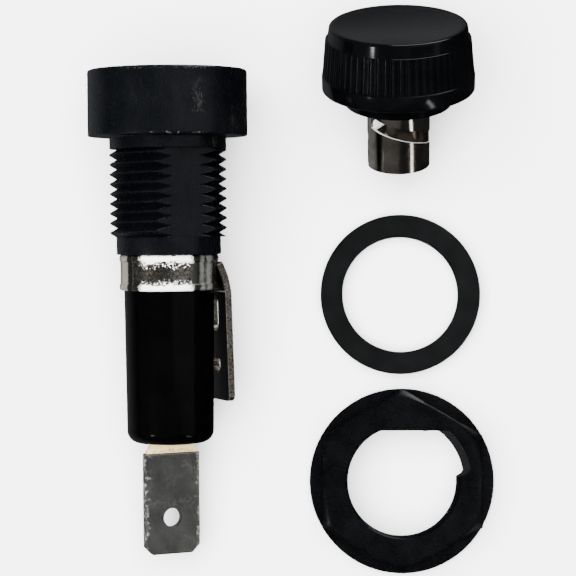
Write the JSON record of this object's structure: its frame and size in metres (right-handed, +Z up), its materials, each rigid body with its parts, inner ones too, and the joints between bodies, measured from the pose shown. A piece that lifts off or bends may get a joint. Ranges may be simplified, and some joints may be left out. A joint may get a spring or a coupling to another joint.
{
  "type": "panel-mount fuse holder",
  "caption": "Black panel-mount cartridge fuse holder with tab terminals, laid flat with its bayonet cap, gasket and flanged nut taken off.",
  "frame": {"origin": "centre of the set's bounding box on the surface that it lies on", "axes": "+Z up from the surface, +Y along the holder from its end blade towards its flange, +X from the holder towards the cap, gasket and nut"},
  "size_m": [0.0446, 0.063, 0.0179],
  "materials": {
    "satin_moulding": "satin black moulding",
    "gloss_moulding": "glossy black moulding",
    "cap_moulding": "semi-gloss black moulding",
    "nut_moulding": "satin black moulding",
    "rubber": "matte black rubber",
    "tinned_sheet": "bright tinned sheet with scratches",
    "tinned_blade": "dull tinned sheet with scratches",
    "nickel": "bright nickel",
    "sleeve_brass": "drawn brass",
    "seat_brass": "stamped brass",
    "cup_brass": "turned brass",
    "spring_wire": "drawn spring wire",
    "rivet_steel": "plain steel"
  },
  "bodies": {
    "holder": {"housing": "satin_moulding", "contact_sleeve": "sleeve_brass", "side_terminal": "tinned_sheet", "barrel": "gloss_moulding", "spring_seat": "seat_brass", "end_terminal": "tinned_blade", "contact_spring": "spring_wire", "cap": "cap_moulding", "cap_sleeve": "nickel", "cap_rivet": "rivet_steel", "gasket": "rubber", "nut": "nut_moulding"},
    "sprung_contact": {"contact_cup": "cup_brass"}
  },
  "joints": [
    {"name": "contact_slide", "type": "slide", "parent": "holder", "child": "sprung_contact", "axis": [0.0071, -0.9942, -0.1074], "range_m": [0, 0.0035], "stiffness_N_per_m": 300, "deforming": ["contact_spring"]}
  ]
}
